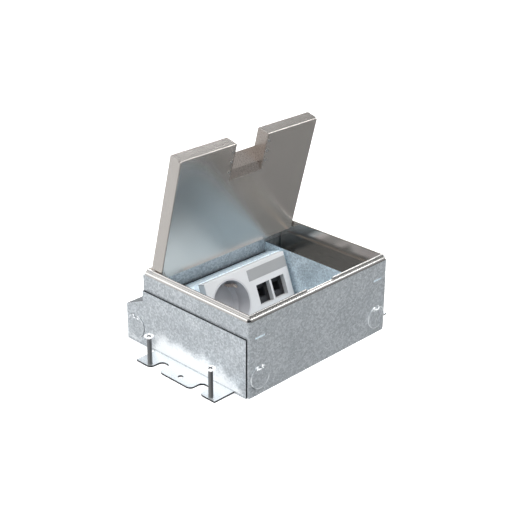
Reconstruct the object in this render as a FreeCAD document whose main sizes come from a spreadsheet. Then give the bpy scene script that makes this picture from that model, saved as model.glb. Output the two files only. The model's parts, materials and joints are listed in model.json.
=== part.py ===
import FreeCAD, Part
import os
import Sketcher

# Floor socket box: a recessed steel box with a hinged tray lid, a tilted pair of devices,
# cable channels on both sides, a rear cable compartment and four levelling screws.
# Millimetres. X to the right, Y to the back, Z up. The origin is under the middle of the box.

doc = FreeCAD.newDocument("floor_socket_box")
sizes = doc.addObject("Spreadsheet::Sheet", "Sizes")

DRIVING = [
    ("cutter_reach", 1, "how far a cutter passes the material"),
    # Galvanised body
    ("steel", 1.5, "galvanised sheet thickness"),
    ("body_depth", 119, "body depth, front to back"),
    ("body_height", 64, "body height"),
    ("corner_radius", 2, "outer bend radius of the body"),
    ("channel_width", 22.5, "cable channel, from the body's side to the plug space"),
    ("face_left_gap", 18.9, "from the left channel wall to the device cover"),
    ("face_right_gap", 2.7, "from the device cover to the right channel wall"),
    ("ledge_height", 50, "height of the ledge over each channel"),
    ("tab_length", 10, "tab of a channel cover in the front wall"),
    ("tab_inset", 6.5, "tab's distance from the body's side"),
    ("window_length", 18, "cable window at the back of a channel wall"),
    ("window_height", 34, "height of the cable window"),
    # Rear compartment and side brackets
    ("rear_depth", 20.5, "depth of the rear compartment"),
    ("hood_low", 32, "hood height at the rear"),
    ("hood_high", 41, "hood height at the body"),
    ("bracket_height", 50, "height of the side brackets"),
    ("flange_reach", 20.5, "width of the bracket's flange"),
    ("flange_length", 90, "length of the bracket's flange"),
    ("notch_spacing", 46.2, "distance between the flange's two notches"),
    ("notch_width", 10, "width of a flange notch"),
    ("notch_depth", 12.5, "depth of a flange notch"),
    ("notch_radius", 4, "rounding of a flange notch"),
    ("anchor_radius", 2.25, "anchor hole radius"),
    ("anchor_inset", 6.5, "anchor hole's distance from the flange's outer edge"),
    # Knockouts
    ("knockout_radius", 10.25, "conduit knockout radius"),
    ("knockout_gap", 0.25, "cut around a knockout"),
    ("knockout_proud", 0.7, "how far a knockout stands out of the sheet"),
    ("knockout_tab", 3.4, "width of the sheet's tab in a knockout"),
    ("knockout_tab_reach", 2.7, "reach of that tab into the knockout"),
    ("front_knockout_side", 11.5, "front knockout's distance from the body's side"),
    ("front_knockout_height", 15.2, "height of the front knockout"),
    ("cheek_knockout_back", 9.3, "cheek knockout's distance behind the body"),
    ("cheek_knockout_height", 15.4, "height of the cheek knockout"),
    # Stainless frame and lid
    ("skin", 0.8, "stainless sheet of the frame"),
    ("lip_height", 4.8, "lip above the body"),
    ("lip_inset", 2.2, "lip's distance from the body's outer face"),
    ("back_lip_inset", 1.6, "the same at the back"),
    ("outlet_half", 15.2, "half width of the lowered cord outlet"),
    ("outlet_drop", 2.6, "how far the lip is lowered there"),
    ("outlet_roll", 0.9, "radius of the rolled edge there"),
    ("shoulder_height", 2.5, "shoulder of the frame, below the lip"),
    ("shoulder_round", 1.9, "outer bend radius of that shoulder"),
    ("relief_radius", 1.5, "corner relief of the shoulder"),
    ("relief_inset", 1, "relief's centre from the body's two outer faces"),
    ("lip_round", 0.7, "rounding of the lip's top"),
    ("rest_thickness", 1.5, "lid rest strip thickness"),
    ("rest_front", 6, "start of the lid rest strip behind the frame's front"),
    ("rest_back", 9.4, "end of the lid rest strip before the frame's back"),
    ("rest_gap", 0.1, "gap under the closed lid"),
    ("lid_gap", 0.75, "gap beside the closed lid"),
    ("lid_back_gap", 1.2, "gap behind the closed lid"),
    ("lid_depth", 11.5, "depth of the lid tray"),
    ("lid_sheet", 1.2, "lid sheet thickness"),
    ("lid_bend", 1.1, "outer bend radius of the lid"),
    ("lid_relief", 1.3, "corner relief of the lid"),
    ("lid_angle", 75.5, "opening of the lid in the rest pose"),
    ("outlet_width", 34.3, "width of the lid's cord notch"),
    ("outlet_short", 16.8, "depth of the cord notch on the upper side"),
    ("outlet_long", 32.8, "depth of the cord notch on the underside"),
    ("ramp_run", 6.8, "lower part of the ramp, along the lid"),
    ("ramp_rise", 3.4, "lower part of the ramp, across the lid"),
    ("insert_sheet", 1, "sheet of the cord outlet insert"),
    ("insert_flange", 8, "flange of the insert on the lid"),
    ("rivet_radius", 0.7, "insert rivet shank"),
    ("rivet_head", 1.1, "insert rivet head radius"),
    ("rivet_cap", 0.5, "insert rivet head height"),
    ("rivet_side", 2.8, "rivet's distance beside the notch"),
    ("rivet_front", 6.5, "first rivet's distance from the lid's front"),
    ("rivet_pitch", 9, "distance between the rivets"),
    ("hinge_drop", 2.2, "hinge axis below the lid's top"),
    ("hinge_inset", 2.8, "hinge axis before the lid's back"),
    ("pin_radius", 1.25, "hinge pin radius"),
    ("pin_play", 0.06, "running clearance around the pin"),
    ("pin_head", 1.9, "hinge pin head radius"),
    ("pin_cap", 0.6, "hinge pin head height"),
    ("washer_radius", 2, "hinge washer radius"),
    ("washer_play", 0.05, "clearance on each side of the washer"),
    # Tilted devices
    ("device_tilt", 68.3, "angle of the device faces to the floor"),
    ("face_back", 25.8, "upper edge of the faces before the body's back"),
    ("face_z", 49.6, "height of that edge"),
    ("face_width", 93.4, "width of the double cover"),
    ("face_height", 48.5, "height of the double cover"),
    ("face_depth", 7, "depth of the double cover"),
    ("face_wall", 2, "wall of the double cover"),
    ("face_round", 0.6, "rounding of the cover's edges"),
    ("carrier_gap", 0.5, "gap between the carrier and the channel walls"),
    ("roof_rise", 0.6, "roof above the cover's upper edge"),
    ("roof_length", 17, "roof behind the carrier's front face"),
    ("foot_length", 14, "carrier's foot on the bottom plate"),
    ("foot_gap", 49, "gap in the foot behind the socket"),
    # Socket
    ("well_side", 2.6, "socket's outside from the side edges of its half of the cover"),
    ("well_wall", 1.3, "wall of the well"),
    ("well_depth", 17.5, "depth of the well"),
    ("well_floor", 2, "floor of the well"),
    ("well_bevel", 3, "bevel around the floor of the well"),
    ("well_collar", 22.4, "radius of the collar behind the support ring"),
    ("collar_sheet", 1.5, "thickness of that collar"),
    ("fit_gap", 0.1, "gap around what is set into another piece"),
    ("contact_spacing", 19, "distance between the two contact holes"),
    ("socket_turn", 45, "turn of the socket's contacts, clockwise from level"),
    ("contact_hole", 2.7, "contact hole radius"),
    ("sleeve_outer", 3.4, "contact sleeve outer radius"),
    ("sleeve_inner", 2.45, "contact sleeve bore"),
    ("sleeve_length", 8, "contact sleeve length"),
    ("bow_width", 4.4, "earth bow width"),
    ("bow_sheet", 0.8, "earth bow sheet"),
    ("bow_side", 1.6, "gap between the earth bow and the well's side"),
    ("bow_front", 4, "start of the earth clips behind the face"),
    ("bow_nose", 1.1, "radius of the earth clip's nose"),
    ("base_width", 40, "socket base width"),
    ("base_height", 28, "socket base height"),
    ("base_depth", 9, "socket base depth"),
    ("ring_sheet", 1.2, "support ring sheet"),
    ("plate_margin", 0.5, "support plate's side edge inside its half of the cover"),
    ("plate_end_margin", 2.5, "support plate's upper and lower edge inside the cover"),
    ("terminal_radius", 2, "terminal screw head radius"),
    ("terminal_height", 1.6, "terminal screw head height"),
    ("terminal_length", 4.5, "terminal screw length"),
    ("terminal_spare", 0.5, "room under a terminal screw"),
    ("terminal_pitch", 12, "distance between terminal screws"),
    # Data ports
    ("port_width", 15.45, "port opening width"),
    ("port_height", 17.6, "port opening height"),
    ("port_pitch", 17.65, "distance between the ports"),
    ("port_y", 27.1, "ports' centre below the cover's upper edge"),
    ("port_collar", 4.6, "depth of the cover's collar round the ports"),
    ("port_recess", 7, "depth of the jacks behind the face"),
    ("jack_length", 23, "jack length"),
    ("jack_mouth_width", 11.8, "jack mouth width"),
    ("jack_mouth_height", 8, "jack mouth height"),
    ("jack_mouth_depth", 12, "jack mouth depth"),
    ("support_wall", 2.4, "wall of the data support"),
    ("support_depth", 9.4, "depth of the data support behind the collar"),
    ("label_margin", 0.6, "label panel's edge inside its half of the cover"),
    ("label_height", 9.5, "label panel height"),
    ("label_sheet", 0.8, "label panel thickness"),
    ("label_y", 8.3, "label's centre below the cover's upper edge"),
    # Small screws
    ("small_radius", 1.5, "small screw shank"),
    ("small_head", 2.8, "small screw head radius"),
    ("small_cap", 1.4, "small screw head height"),
    ("small_play", 0.1, "clearance around a small screw"),
    ("small_slot", 0.8, "width of a small screw's slot"),
    ("small_slot_depth", 0.7, "depth of that slot"),
    ("screw_edge", 0.45, "gap between a device screw's head and the cover's side wall"),
    ("screw_end_edge", 2.45, "gap between that head and the cover's upper or lower wall"),
    # Earth stud
    ("stud_radius", 2, "earth stud radius"),
    ("stud_length", 12, "earth stud above the bottom plate"),
    ("stud_inset", 20, "earth stud's distance from the body's left side"),
    ("collar_height", 1, "height of the earth stud's collar"),
    ("stud_collar", 3.5, "earth stud collar radius"),
    ("nut_flats", 7, "earth nut across flats"),
    ("nut_height", 3.2, "earth nut height"),
    # Levelling screws
    ("level_radius", 1.95, "levelling screw radius"),
    ("level_play", 0.05, "clearance in the flange's thread"),
    ("level_head", 4, "levelling screw head radius"),
    ("level_cone", 2.2, "levelling screw head height"),
    ("level_height", 26.4, "levelling screw length"),
    ("level_tip", 0.6, "chamfer at the levelling screw's tip"),
    ("level_rim", 0.3, "rim of the levelling screw's head"),
    ("level_inset", 3, "levelling screw's distance from the flange's outer edge"),
    ("level_offset", 3, "levelling screws' middle before the flange's middle"),
    ("level_pitch", 70, "distance between the levelling screws"),
    ("recess_width", 1, "cross recess width"),
    ("recess_length", 4.6, "cross recess length"),
    ("recess_depth", 1.4, "cross recess depth"),
]

for row, (alias, value, note) in enumerate(DRIVING, start=1):
    sizes.set(f"A{row}", note)
    sizes.set(f"B{row}", str(value))
    sizes.setAlias(f"B{row}", alias)
doc.recompute()

NAMES = {alias for alias, value, note in DRIVING}


def size(alias):
    """The sheet's cell, as an expression."""
    if alias not in NAMES:
        raise KeyError(alias)
    return "Sizes." + alias


def number(expression):
    """The value of an expression, for a sketch's first guess and for edge searches."""
    value = sizes.evalExpression(str(expression))
    return float(getattr(value, "Value", value))


# Shared places, as expressions

STEEL = size("steel")
PAST = size("cutter_reach")
WALL_X = f"(({size('face_left_gap')} + {size('face_width')} + {size('face_right_gap')}) / 2)"
HALF = f"({WALL_X} + {size('channel_width')})"
FRONT = f"((-{size('body_depth')} - {size('rear_depth')} + {size('knockout_proud')}) / 2)"
BACK = f"({FRONT} + {size('body_depth')})"
REAR = f"({BACK} + {size('rear_depth')})"
TOP = size("body_height")
LEDGE = size("ledge_height")

SKIN = size("skin")
HEM = f"(2 * {SKIN})"
LIP_TOP = f"({TOP} + {size('lip_height')})"
LIP_X = f"({HALF} - {size('lip_inset')})"
LIP_FRONT = f"({FRONT} + {size('lip_inset')})"
LIP_BACK = f"({BACK} - {size('back_lip_inset')})"

LID_X = f"({LIP_X} - {HEM} - {size('lid_gap')})"
LID_FRONT = f"({LIP_FRONT} + {HEM} + {size('lid_gap')})"
LID_BACK = f"({LIP_BACK} - {HEM} - {size('lid_back_gap')})"
LID_UNDER = f"({LIP_TOP} - {size('lid_depth')})"
HINGE_Y = f"({LID_BACK} - {size('hinge_inset')})"
HINGE_Z = f"({LIP_TOP} - {size('hinge_drop')})"

FLANGE_X = f"({HALF} + {STEEL} + {size('flange_reach')})"
FLANGE_Y = f"({FRONT} + {size('body_depth')} / 2)"


# Building blocks

def place(thing, x=None, y=None, z=None):
    """Bind the base of an object's placement to expressions."""
    for axis, expression in (("x", x), ("y", y), ("z", z)):
        if expression is not None:
            thing.setExpression(f"Placement.Base.{axis}", str(expression))
    return thing


def block(name, x, y, z):
    """A box between pairs of expressions."""
    thing = doc.addObject("Part::Box", name)
    for prop, (low, high) in (("Length", x), ("Width", y), ("Height", z)):
        thing.setExpression(prop, f"({high}) - ({low})")
    return place(thing, x[0], y[0], z[0])


# Two places closer than this are the same
SAME = 1e-5

TURNS = {
    "x": FreeCAD.Rotation(FreeCAD.Vector(0, 1, 0), 90),
    "y": FreeCAD.Rotation(FreeCAD.Vector(1, 0, 0), -90),
    "z": FreeCAD.Rotation(),
}


def rod(name, radius, axis, start, length, x="0", y="0", z="0"):
    """A cylinder along one axis, from start over length."""
    thing = doc.addObject("Part::Cylinder", name)
    thing.setExpression("Radius", str(radius))
    thing.setExpression("Height", str(length))
    thing.Placement = FreeCAD.Placement(FreeCAD.Vector(), TURNS[axis])
    base = {"x": x, "y": y, "z": z}
    base[axis] = start
    return place(thing, **base)


def drill(name, radius, axis, low, high, x="0", y="0", z="0"):
    """A round cutter that passes both faces of the material between low and high."""
    return rod(name, radius, axis, f"{low} - {PAST}", f"({high}) - ({low}) + 2 * {PAST}", x=x, y=y, z=z)


def fuse(name, *parts):
    thing = doc.addObject("Part::MultiFuse", name)
    thing.Shapes = list(parts)
    thing.Refine = True
    return thing


def cut(name, base, *tools):
    """Base less each tool in turn; the last step carries the name."""
    for index, tool in enumerate(tools, start=1):
        last = index == len(tools)
        step = doc.addObject("Part::Cut", name if last else f"{name}_step{index}")
        step.Base = base
        step.Tool = tool
        step.Refine = True
        base = step
    return base


def group(name, *parts):
    """Separate solids that share one node."""
    thing = doc.addObject("Part::Compound", name)
    thing.Links = list(parts)
    return thing


def mirrored(name, source):
    """The same piece on the other side of the middle plane."""
    thing = doc.addObject("Part::Mirroring", name)
    thing.Source = source
    thing.Base = FreeCAD.Vector(0, 0, 0)
    thing.Normal = FreeCAD.Vector(1, 0, 0)
    return thing


def new_body(name):
    return doc.addObject("PartDesign::Body", name)


def sketch_on(body, name, role, offset=None):
    """A sketch on one of the body's origin planes, moved along its normal by offset."""
    sketch = body.newObject("Sketcher::SketchObject", name)
    plane = [part for part in body.Origin.OriginFeatures if part.Role == role][0]
    sketch.AttachmentSupport = (plane, [""])
    sketch.MapMode = "FlatFace"
    if offset is not None:
        sketch.setExpression("AttachmentOffset.Base.z", str(offset))
    return sketch


def polygon(sketch, corners):
    """A closed outline with each corner bound to a pair of expressions."""
    guesses = [FreeCAD.Vector(number(u), number(v), 0) for u, v in corners]
    first = sketch.GeometryCount
    count = len(corners)
    for index in range(count):
        sketch.addGeometry(Part.LineSegment(guesses[index], guesses[(index + 1) % count]), False)
    for index in range(count):
        follower = first + (index + 1) % count
        sketch.addConstraint(Sketcher.Constraint("Coincident", first + index, 2, follower, 1))
    for index, (u, v) in enumerate(corners):
        for kind, expression, value in (("DistanceX", u, guesses[index].x),
                                        ("DistanceY", v, guesses[index].y)):
            order = (-1, 1, first + index, 1, value)
            number_of = sketch.addConstraint(Sketcher.Constraint(kind, *order))
            sketch.setExpression(f"Constraints[{number_of}]", str(expression))


def rectangle(sketch, u, v):
    polygon(sketch, [(u[0], v[0]), (u[1], v[0]), (u[1], v[1]), (u[0], v[1])])


def circle(sketch, u, v, radius):
    centre = FreeCAD.Vector(number(u), number(v), 0)
    index = sketch.addGeometry(Part.Circle(centre, FreeCAD.Vector(0, 0, 1), number(radius)), False)
    for constraint, expression in (
            (Sketcher.Constraint("Radius", index, number(radius)), radius),
            (Sketcher.Constraint("DistanceX", -1, 1, index, 3, centre.x), u),
            (Sketcher.Constraint("DistanceY", -1, 1, index, 3, centre.y), v)):
        number_of = sketch.addConstraint(constraint)
        sketch.setExpression(f"Constraints[{number_of}]", str(expression))


def pad(body, name, sketch, length, middle=False):
    feature = body.newObject("PartDesign::Pad", name)
    feature.Profile = sketch
    feature.setExpression("Length", str(length))
    feature.Midplane = middle
    return feature


def pocket(body, name, sketch, length, backwards=False):
    """A cut of the sketch; it has to take material away."""
    doc.recompute()
    before = body.Shape.Volume
    feature = body.newObject("PartDesign::Pocket", name)
    feature.Profile = sketch
    feature.setExpression("Length", str(length))
    feature.Reversed = backwards
    doc.recompute()
    if body.Shape.Volume >= before - SAME:
        raise ValueError(name + " cuts nothing")
    return feature


def turned(body, name, sketch, axis="V_Axis"):
    feature = body.newObject("PartDesign::Revolution", name)
    feature.Profile = sketch
    feature.ReferenceAxis = (sketch, [axis])
    feature.Angle = 360
    return feature


def fillet(body, name, base, edges, radius):
    feature = body.newObject("PartDesign::Fillet", name)
    feature.Base = (base, edges)
    feature.setExpression("Radius", str(radius))
    return feature


def upright_edges(shape, spots):
    """Names of the vertical edges that stand at one of the given places in plan."""
    names = []
    for index, edge in enumerate(shape.Edges, start=1):
        ends = [vertex.Point for vertex in edge.Vertexes]
        if len(ends) != 2 or (ends[0] - ends[1]).cross(FreeCAD.Vector(0, 0, 1)).Length > SAME:
            continue
        if any(abs(ends[0].x - x) + abs(ends[0].y - y) < SAME for x, y in spots):
            names.append(f"Edge{index}")
    return names


def edges_at(shape, height):
    """Names of the edges that lie level at one height."""
    return [f"Edge{index}" for index, edge in enumerate(shape.Edges, start=1)
            if all(abs(vertex.Z - height) < SAME for vertex in edge.Vertexes)]


# Places of what moves with the lid or leans with the devices

def open_lid(thing):
    """Turn a piece from the closed lid's place about the hinge axis to the rest pose."""
    angle = size("lid_angle")
    thing.Placement = FreeCAD.Placement(FreeCAD.Vector(), FreeCAD.Rotation(FreeCAD.Vector(-1, 0, 0), 60))
    thing.setExpression("Placement.Rotation.Angle", angle)
    place(thing,
          y=f"{HINGE_Y} - ({HINGE_Y} * cos({angle}) + {HINGE_Z} * sin({angle}))",
          z=f"{HINGE_Z} - ({HINGE_Z} * cos({angle}) - {HINGE_Y} * sin({angle}))")
    return thing


FACE_X = f"(({size('face_left_gap')} - {size('face_right_gap')}) / 2)"
FACE_Y = f"({BACK} - {size('face_back')})"
FACE_Z = size("face_z")
TILT = size("device_tilt")


def lean(thing):
    """Set a piece that is drawn face up, with its upper edge on X, into the tilted face plane."""
    thing.Placement = FreeCAD.Placement(FreeCAD.Vector(), FreeCAD.Rotation(FreeCAD.Vector(1, 0, 0), 60))
    thing.setExpression("Placement.Rotation.Angle", TILT)
    return place(thing, FACE_X, FACE_Y, FACE_Z)


def leaning(up, out):
    """Where a point of the tilted face plane lies, as Y and Z."""
    return (f"{FACE_Y} + ({up}) * cos({TILT}) - ({out}) * sin({TILT})",
            f"{FACE_Z} + ({up}) * sin({TILT}) + ({out}) * cos({TILT})")


PIN_HOLE = f"({size('pin_radius')} + {size('pin_play')})"

NODES = []


def node(thing, name):
    thing.Label = name
    NODES.append(thing)
    return thing


def pair(thing, left, right):
    """A left piece and its mirror image on the right."""
    node(thing, left)
    node(mirrored(right + "_mirror", thing), right)


# Knockouts

KNOCK_R = size("knockout_radius")
PROUD = size("knockout_proud")
FRONT_KNOCK_X = f"({HALF} - {size('front_knockout_side')})"
FRONT_KNOCK_Z = size("front_knockout_height")
CHEEK_KNOCK_Y = f"({BACK} + {size('cheek_knockout_back')})"
CHEEK_KNOCK_Z = size("cheek_knockout_height")


def spread(middle, width):
    """The two ends of a width about its middle."""
    return f"{middle} - {width} / 2", f"{middle} + {width} / 2"


def knockout(name, axis, low, high, at, height, gap="0"):
    """A round plate between low and high on an axis, with a notch at the top for the sheet's tab."""
    across = {"x": "y", "y": "x"}[axis]
    disc = rod(name + "_disc", f"{KNOCK_R} - {gap}", axis, low, f"({high}) - ({low})",
               **{across: at, "z": height})
    half_tab = f"({size('knockout_tab')} / 2 + {gap})"
    span = {axis: (f"{low} - {PAST}", f"{high} + {PAST}"),
            across: (f"{at} - {half_tab}", f"{at} + {half_tab}"),
            "z": (f"{height} + {KNOCK_R} - {size('knockout_tab_reach')} - {gap}",
                  f"{height} + {KNOCK_R} + {PAST}")}
    return cut(name, disc, block(name + "_notch", span["x"], span["y"], span["z"]))


# Galvanised body

def make_body_shell():
    body = new_body("shell_body")
    plan = sketch_on(body, "shell_plan", "XY_Plane")
    rectangle(plan, (f"-{HALF}", HALF), (FRONT, BACK))
    rectangle(plan, (f"-{HALF} + {STEEL}", f"{HALF} - {STEEL}"), (f"{FRONT} + {STEEL}", f"{BACK} - {STEEL}"))
    pad(body, "shell_walls", plan, TOP)
    window = sketch_on(body, "shell_window", "XZ_Plane", f"-({BACK})")
    rectangle(window, (f"-{HALF} + {STEEL}", f"{HALF} - {STEEL}"), (f"-{PAST}", size("hood_high")))
    pocket(body, "shell_back_opening", window, f"2 * {STEEL}", backwards=True)
    x, y = number(HALF), number(FRONT)
    edges = upright_edges(body.Shape, [(-x, y), (x, y)])
    fillet(body, "shell_bends", body.Tip, edges, size("corner_radius"))
    tab_low = f"({HALF} - {size('tab_inset')} - {size('tab_length')} - {size('fit_gap')})"
    tab_high = f"({HALF} - {size('tab_inset')} + {size('fit_gap')})"
    cutters = []
    for side, low, high in (("left", f"-{tab_high}", f"-{tab_low}"), ("right", tab_low, tab_high)):
        cutters.append(block(f"shell_slot_{side}", (low, high),
                             (f"{FRONT} - {PAST}", f"{FRONT} + 2 * {STEEL}"), (f"{LEDGE} - {STEEL}", LEDGE)))
        at = f"-{FRONT_KNOCK_X}" if side == "left" else FRONT_KNOCK_X
        cutters.append(knockout(f"front_hole_{side}", "y", f"{FRONT} - {PAST}",
                                f"{FRONT} + {STEEL} + {PAST}", at, FRONT_KNOCK_Z))
    node(cut("body_shell", body, *cutters), "body_shell")


def make_bottom_plate():
    inside = block("bottom_inside", (f"-{HALF} + {STEEL}", f"{HALF} - {STEEL}"),
                   (f"{FRONT} + {STEEL}", BACK), ("0", STEEL))
    behind = block("bottom_behind", (f"-{HALF}", HALF), (BACK, f"{REAR} - {STEEL}"), ("0", STEEL))
    plate = fuse("bottom_plate_blank", inside, behind)
    holes = [drill(f"bottom_hole_{index}", SMALL_HOLE, "z", "0", STEEL, x=x, y=FOOT_SCREW_Y)
             for index, x in enumerate(FOOT_SCREW_X)]
    holes.append(drill("bottom_stud_hole", f"{size('stud_radius')} + {size('small_play')}", "z", "0", STEEL,
                       x=STUD_X, y=STUD_Y))
    node(cut("bottom_plate", plate, *holes), "bottom_plate")


def make_channel_covers():
    body = new_body("channel_body")
    section = sketch_on(body, "channel_section", "XZ_Plane", f"-({FRONT} + {STEEL})")
    polygon(section, [
        (f"-{HALF} + {STEEL}", f"{LEDGE} - {STEEL}"),
        (f"-{WALL_X} - {STEEL}", f"{LEDGE} - {STEEL}"),
        (f"-{WALL_X} - {STEEL}", STEEL),
        (f"-{WALL_X}", STEEL),
        (f"-{WALL_X}", LEDGE),
        (f"-{HALF} + {STEEL}", LEDGE)])
    feature = pad(body, "channel_length", section, f"{BACK} - {FRONT} - 2 * {STEEL}")
    feature.Reversed = True
    high = f"(-{HALF} + {size('tab_inset')} + {size('tab_length')})"
    low = f"(-{HALF} + {size('tab_inset')})"
    tab = block("channel_tab", (low, high), (FRONT, f"{FRONT} + {STEEL}"), (f"{LEDGE} - {STEEL}", LEDGE))
    window = block("channel_window", (f"-{WALL_X} - 2 * {STEEL}", f"-{WALL_X} + {STEEL}"),
                   (f"{BACK} - {STEEL} - {size('window_length')}", BACK), ("0", f"{size('window_height')}"))
    cover = cut("left_channel_cover", fuse("channel_blank", body, tab), window)
    pair(cover, "left_channel_cover", "right_channel_cover")


def make_rear_hood():
    slope = f"(({size('hood_high')} - {size('hood_low')}) / {size('rear_depth')})"
    upright = f"({STEEL} * sqrt(1 + {slope} * {slope}))"
    body = new_body("rear_hood")
    section = sketch_on(body, "hood_section", "YZ_Plane")
    polygon(section, [
        (REAR, "0"),
        (REAR, size("hood_low")),
        (BACK, size("hood_high")),
        (BACK, f"{size('hood_high')} - {upright}"),
        (f"{REAR} - {STEEL}", f"{size('hood_low')} + {STEEL} * {slope} - {upright}"),
        (f"{REAR} - {STEEL}", "0")])
    pad(body, "hood_width", section, f"2 * {HALF}", middle=True)
    node(body, "rear_hood")


def make_brackets():
    body = new_body("bracket_body")
    cheek = sketch_on(body, "bracket_side", "YZ_Plane", f"-{HALF} - {STEEL}")
    start = f"{FRONT} + {size('corner_radius')}"
    polygon(cheek, [
        (start, "0"),
        (REAR, "0"),
        (REAR, size("hood_low")),
        (BACK, size("hood_high")),
        (BACK, size("bracket_height")),
        (start, size("bracket_height"))])
    pad(body, "bracket_plate", cheek, STEEL)
    flange = sketch_on(body, "bracket_flange_plan", "XY_Plane")
    outer = f"-{FLANGE_X}"
    ends = (f"{FLANGE_Y} - {size('flange_length')} / 2", f"{FLANGE_Y} + {size('flange_length')} / 2")
    floor = f"-{FLANGE_X} + {size('notch_depth')}"
    sides = []
    for sign in ("-", "+"):
        middle = f"({FLANGE_Y} {sign} {size('notch_spacing')} / 2)"
        sides.append((f"{middle} - {size('notch_width')} / 2", f"{middle} + {size('notch_width')} / 2"))
    corners = [(f"-{HALF} - {STEEL} / 2", ends[0]), (outer, ends[0])]
    for low, high in sides:
        corners += [(outer, low), (floor, low), (floor, high), (outer, high)]
    corners += [(outer, ends[1]), (f"-{HALF} - {STEEL} / 2", ends[1])]
    polygon(flange, corners)
    pad(body, "bracket_flange", flange, STEEL)
    doc.recompute()
    spots = [(number(x), number(y)) for low, high in sides for x in (outer, floor) for y in (low, high)]
    fillet(body, "bracket_notch_rounds", body.Tip, upright_edges(body.Shape, spots), size("notch_radius"))
    holes = [knockout("cheek_hole", "x", f"-{HALF} - {STEEL} - {PAST}", f"-{HALF} + {PAST}",
                      CHEEK_KNOCK_Y, CHEEK_KNOCK_Z),
             drill("anchor_hole", size("anchor_radius"), "z", "0", STEEL,
                   x=f"-{FLANGE_X} + {size('anchor_inset')}", y=FLANGE_Y)]
    for index, y in enumerate(LEVEL_Y):
        holes.append(drill(f"level_hole_{index}", f"{size('level_radius')} + {size('level_play')}", "z",
                           "0", STEEL, x=f"-{LEVEL_X}", y=y))
    pair(cut("left_bracket", body, *holes), "left_bracket", "right_bracket")


def make_knockouts():
    gap = size("knockout_gap")
    front = knockout("front_knockout", "y", f"{FRONT} - {PROUD}", f"{FRONT} - {PROUD} + {STEEL}",
                     f"-{FRONT_KNOCK_X}", FRONT_KNOCK_Z, gap)
    pair(front, "front_knockout_left", "front_knockout_right")
    cheek = knockout("cheek_knockout", "x", f"-{HALF} - {STEEL} - {PROUD}", f"-{HALF} - {PROUD}",
                     CHEEK_KNOCK_Y, CHEEK_KNOCK_Z, gap)
    pair(cheek, "cheek_knockout_left", "cheek_knockout_right")


# Stainless frame

def make_shoulder(name, inset, low, high, radius):
    """A block over the body whose upper edges are rounded, for the frame's shoulder and its inside."""
    body = new_body(name)
    plan = sketch_on(body, name + "_plan", "XY_Plane", low)
    rectangle(plan, (f"-{HALF} + {inset}", f"{HALF} - {inset}"), (f"{FRONT} + {inset}", f"{BACK} - {inset}"))
    pad(body, name + "_block", plan, f"({high}) - ({low})")
    doc.recompute()
    fillet(body, name + "_bends", body.Tip, edges_at(body.Shape, number(high)), radius)
    return body


def make_floor_frame():
    shoulder_top = f"({TOP} + {size('shoulder_height')})"
    round_edge = size("shoulder_round")
    shoulder = make_shoulder("frame_shoulder", "0", TOP, shoulder_top, round_edge)
    under = make_shoulder("frame_under", SKIN, f"{TOP} - {PAST}", f"{shoulder_top} - {SKIN}",
                          f"({round_edge} - {SKIN})")
    middle = block("frame_middle", (f"-{LIP_X} + {SKIN}", f"{LIP_X} - {SKIN}"),
                   (f"{LIP_FRONT} + {SKIN}", f"{LIP_BACK} - {SKIN}"),
                   (f"{TOP} - 2 * {PAST}", f"{shoulder_top} + {PAST}"))
    band = new_body("frame_lip")
    plan = sketch_on(band, "frame_lip_plan", "XY_Plane", TOP)
    rectangle(plan, (f"-{LIP_X}", LIP_X), (LIP_FRONT, LIP_BACK))
    rectangle(plan, (f"-{LIP_X} + {HEM}", f"{LIP_X} - {HEM}"),
              (f"{LIP_FRONT} + {HEM}", f"{LIP_BACK} - {HEM}"))
    pad(band, "frame_lip_band", plan, size("lip_height"))
    doc.recompute()
    fillet(band, "frame_lip_rounds", band.Tip, edges_at(band.Shape, number(LIP_TOP)), size("lip_round"))
    outside = block("frame_wall_outside", (f"-{LIP_X} + {SKIN}", f"{LIP_X} - {SKIN}"),
                    (f"{LIP_FRONT} + {SKIN}", f"{LIP_BACK} - {SKIN}"), (LEDGE, TOP))
    # The frame has no wall at the back, where the shell's back band closes it
    inside = block("frame_wall_inside", (f"-{LIP_X} + {HEM}", f"{LIP_X} - {HEM}"),
                   (f"{LIP_FRONT} + {HEM}", LIP_BACK), (f"{LEDGE} - {PAST}", TOP))
    wall = cut("frame_wall", outside, inside)
    half_outlet = size("outlet_half")
    lowered = f"({LIP_TOP} - {size('outlet_drop')})"
    gap = block("frame_outlet", (f"-{half_outlet}", half_outlet),
                (f"{LIP_FRONT} - {PAST}", f"{LIP_FRONT} + {HEM} + {PAST}"),
                (lowered, f"{LIP_TOP} + {PAST}"))
    roll = rod("frame_outlet_roll", size("outlet_roll"), "x", f"-{half_outlet}", f"2 * {half_outlet}",
               y=f"{LIP_FRONT} + {SKIN}", z=lowered)
    inset = size("relief_inset")
    reliefs = [drill(f"frame_relief_{index}", size("relief_radius"), "z", TOP, shoulder_top, x=x, y=y)
               for index, (x, y) in enumerate([(f"-{HALF} + {inset}", f"{FRONT} + {inset}"),
                                               (f"{HALF} - {inset}", f"{FRONT} + {inset}"),
                                               (f"-{HALF} + {inset}", f"{BACK} - {inset}"),
                                               (f"{HALF} - {inset}", f"{BACK} - {inset}")])]
    pin_hole = rod("frame_pin_hole", PIN_HOLE, "x", f"-{LIP_X}", f"2 * {LIP_X}", y=HINGE_Y, z=HINGE_Z)
    sinks = [rod(f"frame_pin_sink_{side}", f"{size('pin_head')} + {size('pin_play')}", "x", start,
                 size("pin_cap"), y=HINGE_Y, z=HINGE_Z)
             for side, start in (("left", f"-{LIP_X}"), ("right", f"{LIP_X} - {size('pin_cap')}"))]
    brim = cut("frame_brim", shoulder, cut("frame_channel", under, middle), middle, *reliefs)
    blank = cut("frame_blank", fuse("frame_bands", brim, band, wall), gap, pin_hole, *sinks)
    node(fuse("floor_frame", blank, roll), "floor_frame")


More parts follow.
